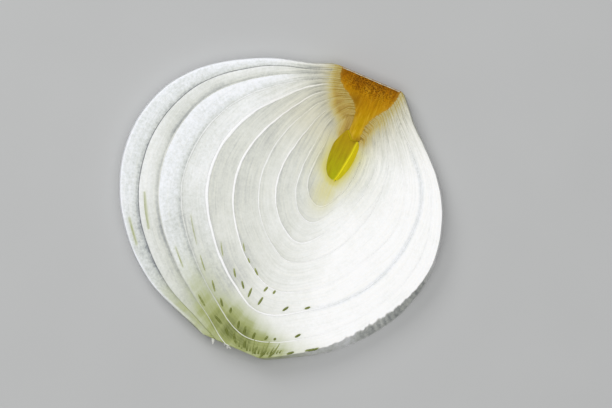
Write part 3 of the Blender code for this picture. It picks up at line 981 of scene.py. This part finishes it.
# The rim of the outermost scale, made paler as a painted highlight, and the edge of the root cut,
# both bright
RIM_WIDTH, CUT_WIDTH = 0.13 * MM, 0.1 * MM
FROM_EDGE = 0.2 * MM
CUT_POINTS = 120
tried = np.arange(24.0, 164.0, 0.5)
rim_width = RIM_WIDTH * (1 + 0.3 * waves(tried * 0.3, 2))
painted_rim_highlight = line_in_scale(1, 0.965, tried, 0.3 * EASE, rim_width)
make_paler(painted_rim_highlight, 0.5)
skin_lines.append(painted_rim_highlight)
cut_x = np.linspace(left_flank[1][-1] + FROM_EDGE, right_flank[1][-1] - FROM_EDGE, CUT_POINTS)
cut_y = np.full(CUT_POINTS, cad_high.y - FROM_EDGE)
cut_z = np.full(CUT_POINTS, THICKNESS - 0.06 * MM)
skin_lines.append({
    "points": np.column_stack([cut_x, cut_y, cut_z]),
    "width": CUT_WIDTH * (1 + 0.4 * waves(cut_x / MM * 2.2, 5)),
    "tones": even_tones(CUT_POINTS, pale=0.3, brown=0.3),
})
make_strands("skin_lines", skin_lines, film, "flesh", flatness=RIBBON, wander=0.08 * MM,
             waves_per_metre=500.0, seed=3.0)

# Rib and node of the shoot
# The midrib of the right leaf lies against the left one, a smooth juicy cord from the node
# above them to their tip, and the brightest thing in the slice. The node is a brownish welt of
# firm tissue, grown where the leaves leave the stalk.


def above_point(right, up, height):
    """Places given in mm to the right of the growing point and up from it, at a height."""
    return np.column_stack([growing_point[0] + right * MM, growing_point[1] + up * MM,
                            np.broadcast_to(height, right.shape)])


RIB_TURNS = ((0.75, 6.6), (0.5, 3.4), (0.1, 0.6), (-0.4, -2.7), (-1.0, -4.9))
RIB_POINTS = 50
steps = np.linspace(0, 1, RIB_POINTS)
turn_steps = np.linspace(0, 1, len(RIB_TURNS))
rib_right, rib_up = (np.interp(steps, turn_steps, turn) for turn in zip(*RIB_TURNS))
rib_line = {
    "points": above_point(rib_right, rib_up, THICKNESS - PROUD - 0.5 * CROWN),
    "width": (0.12 + 0.12 * np.sin(math.pi * steps)) * MM,
    "tones": {"towards_tip": steps, "rib": 0.6 + 0.35 * np.sin(math.pi * steps),
              "knot": 0.6 * (1 - steps) ** 6},
}
NODE_TURNS = ((-2.8, 8.4), (-1.0, 6.4), (0.8, 6.7))
NODE_POINTS = 40
steps = np.linspace(0, 1, NODE_POINTS)
node_right, node_up = (np.interp(steps, (0, 0.6, 1), turn) for turn in zip(*NODE_TURNS))
node_line = {
    "points": above_point(node_right, node_up, SHOOT_TOP),
    "width": (0.12 + 0.16 * np.sin(math.pi * steps)) * MM,
    "tones": {"towards_tip": 0 * steps, "rib": 0 * steps, "knot": 0.25 + 0.6 * steps**2},
}
make_strands("shoot_rib", [rib_line, node_line], bpy.data.materials["shoot_leaf_right"], "shoot",
             flatness=0.3, wander=0.05 * MM, waves_per_metre=500.0, seed=23.0)

# Veins
# Green veins run lengthwise through the outer third of every scale and come to the surface
# near the neck, where the knife met them at a slant and left short blunt dashes.
VEIN_FLATNESS = 0.3
VEIN_POINTS = 14
vein_lines = []
for number, first, last, inner, outer in VEINS:
    steps = np.linspace(0, 1, VEIN_POINTS)
    taper = np.sqrt(np.clip(1 - np.abs(2 * steps - 1) ** 2.2, 0, 1))
    shares, bearings = inner + (outer - inner) * steps, first + (last - first) * steps
    line = line_in_scale(number, shares, bearings, -0.85 * CROWN, 0.0)
    x, y = line["points"][:, 0] - growing_point[0], line["points"][:, 1] - growing_point[1]
    near_neck = smooth(36 * MM, 12 * MM, np.hypot(x, y + NECK_CUT))
    line["width"] = (0.03 + (0.09 + 0.17 * near_neck) * taper) * MM
    line["tones"]["green"] = np.clip((0.45 + 0.55 * near_neck) * (0.7 + 0.3 * taper), 0, 1)
    vein_lines.append(line)
# Right at the neck the last of them stand close together and point down to one place
HATCH = 15
HATCH_POINTS = 10
POINTING_TO = np.array([0.0, -64.0])
FOOT_FROM_EDGE = 0.9
for i in range(HATCH):
    share = i / (HATCH - 1)
    foot = np.array([-6.4 + 10.0 * share, -52.2 - 0.25 * math.sin(i * 2.4)])
    foot_bearing = np.degrees(np.arctan2(-foot[0], foot[1])) % 360
    foot *= min(1.0, (reach(2, foot_bearing) / MM - FOOT_FROM_EDGE) / np.hypot(*foot))
    run = foot - POINTING_TO
    length = 1.5 + 1.1 * math.sin(i * 4.3) + 1.2 * math.sin(math.pi * share)
    head = foot + run / np.hypot(*run) * length
    steps = np.linspace(0, 1, HATCH_POINTS)
    places = (foot + (head - foot) * steps[:, None]) * MM + growing_point
    distance, bearings = bearings_of(places)
    tones = flesh_tone(3, np.full(HATCH_POINTS, 0.5), np.ones(HATCH_POINTS), distance, bearings)
    tones["green"] = 1.0 - 0.35 * steps
    heights = np.full(HATCH_POINTS, THICKNESS - PROUD - 0.25 * CROWN)
    vein_lines.append({"points": np.column_stack([places, heights]), "tones": tones,
                       "width": (0.21 - 0.11 * steps) * MM})
make_strands("vein_dashes", vein_lines, film, "flesh", flatness=VEIN_FLATNESS, wander=0.06 * MM,
             waves_per_metre=700.0, seed=11.0)

# Torn tips
# At the neck the two outermost scales end in thin dry shreds of skin, torn rather than cut,
# that stand out past the flesh and sag a little towards the table.
# Each shred from start to end, right and up of the growing point, and its half width, in mm
SHREDS = (
    (-15.2, -50.2, -12.8, -54.3, 0.5), (-14.4, -50.4, -12.9, -53.2, 0.36),
    (-10.8, -51.4, -9.0, -53.9, 0.5), (-9.8, -52.0, -8.1, -53.6, 0.4),
    (-11.8, -51.4, -9.9, -53.5, 0.36),
)
SHRED_POINTS = 24
CURL = 0.5
shreds = []
for i, (from_x, from_y, to_x, to_y, half_width) in enumerate(SHREDS):
    steps = np.linspace(0, 1, SHRED_POINTS)
    curl = CURL * np.sin(math.pi * steps) * (-1) ** i
    across = from_x + (to_x - from_x) * steps + curl
    along = from_y + (to_y - from_y) * steps
    heights = THICKNESS * (0.93 - 0.2 * steps**2 - 0.02 * i)
    shreds.append({
        "points": above_point(across, along, heights),
        "width": half_width * (1 - 0.8 * steps**4) * MM,
        "tones": even_tones(SHRED_POINTS, pale=1.0, green=0.16),
    })
make_strands("torn_tips", shreds, film, "flesh", flatness=0.45, wander=0.12 * MM,
             waves_per_metre=600.0, seed=19.0)

# Fibres
# Bundles of fibres leave the stem plate on both sides and fan out into the scales, which they
# feed. Cut along, they show as fine cream threads that thin out and sink into the flesh.
FIBRE_FLATNESS = 0.4
FIBRES = 7
FIBRE_POINTS = 34
fibre_lines = []
for number in range(1, SCALE_COUNT + 1):
    for k in range(FIBRES):
        share = 0.08 + 0.14 * k
        first, last = scale_limits(number, np.array([share]), np.ones(1))
        fan = 30 + 16 * math.sin(number * 2.1 + share * 19)
        sides = [(first[0], first[0] + fan)]
        if number not in LAST_BEARINGS:
            sides.append((last[0], last[0] - 0.8 * fan))
        for start, end in sides:
            steps = np.linspace(0, 1, FIBRE_POINTS)
            bearings = start + (end - start) * steps
            thickest = 0.06 + 0.03 * math.sin(k * 5 + number)
            half_width = (0.03 + thickest * (1 - steps) ** 1.3) * MM
            line = line_in_scale(number, share + 0.04 * np.sin(steps * 5 + number), bearings,
                                 -0.8 * CROWN + 0.07 * MM * steps, half_width)
            line["points"][:, 1] = np.minimum(line["points"][:, 1], cad_high.y - FROM_EDGE)
            # Two pale fibres, then one dark one
            paler = 0.34 if (k + number) % 3 else -0.2
            make_paler(line, paler * (1 - steps) ** 0.6)
            line["tones"]["brown"] *= 0.75 if paler > 0 else 1.15
            fibre_lines.append(line)
make_strands("root_fibres", fibre_lines, film, "flesh", flatness=FIBRE_FLATNESS, wander=0.06 * MM,
             waves_per_metre=420.0, seed=7.0)

# Floor
# A plain matt sheet of pale card under the slice.
FLOOR_SIZE = 1.6
card = Finish("pale_card")
place = card.add("ShaderNodeTexCoord").outputs["Object"]
mottle = card.mix(card.noise(place, 40.0), display_colour(186, 187, 187),
                  display_colour(190, 191, 191))
card.surface(Base_Color=mottle, Roughness=0.8)
bpy.ops.mesh.primitive_grid_add(x_subdivisions=8, y_subdivisions=8, size=FLOOR_SIZE)
floor = bpy.context.active_object
floor.name = "floor"
floor.data.materials.append(card.material)

# Light
# One wide soft box straight overhead and a second, weaker one from the upper left, in a
# room of even pale light.


def soft_box(name, place, size, power):
    light = bpy.data.lights.new(name, "AREA")
    light.size = size
    light.energy = power
    box = bpy.data.objects.new(name, light)
    box.location = place
    box.rotation_euler = (-Vector(place)).to_track_quat("-Z", "Y").to_euler()
    bpy.context.scene.collection.objects.link(box)


soft_box("overhead_box", (0.0, 0.0, 1.1), 1.0, 9.0)
soft_box("side_box", (-0.7, 0.45, 0.7), 0.5, 4.5)
room = bpy.data.worlds.new("pale_room")
room.use_nodes = True
room.node_tree.nodes["Background"].inputs["Color"].default_value = (1.0, 1.0, 1.0, 1.0)
room.node_tree.nodes["Background"].inputs["Strength"].default_value = 0.22
bpy.context.scene.world = room
bpy.context.scene.view_settings.view_transform = "Standard"

# Camera
# Straight above the slice and turned as the photograph was, with a long lens.
VIEW_WIDTH = 153.0 * MM
VIEW_TURN = math.radians(23.2)
FROM_GROWING_POINT = (-5.12 * MM, -12.8 * MM)
LENS = 150.0
SENSOR = 36.0
lens = bpy.data.cameras.new("camera")
lens.lens = LENS
lens.sensor_width = SENSOR
camera = bpy.data.objects.new("camera", lens)
camera.location = (
    growing_point[0] + FROM_GROWING_POINT[0],
    growing_point[1] + FROM_GROWING_POINT[1],
    THICKNESS + VIEW_WIDTH * LENS / SENSOR,
)
camera.rotation_euler = (0.0, 0.0, VIEW_TURN)
bpy.context.scene.collection.objects.link(camera)
bpy.context.scene.camera = camera
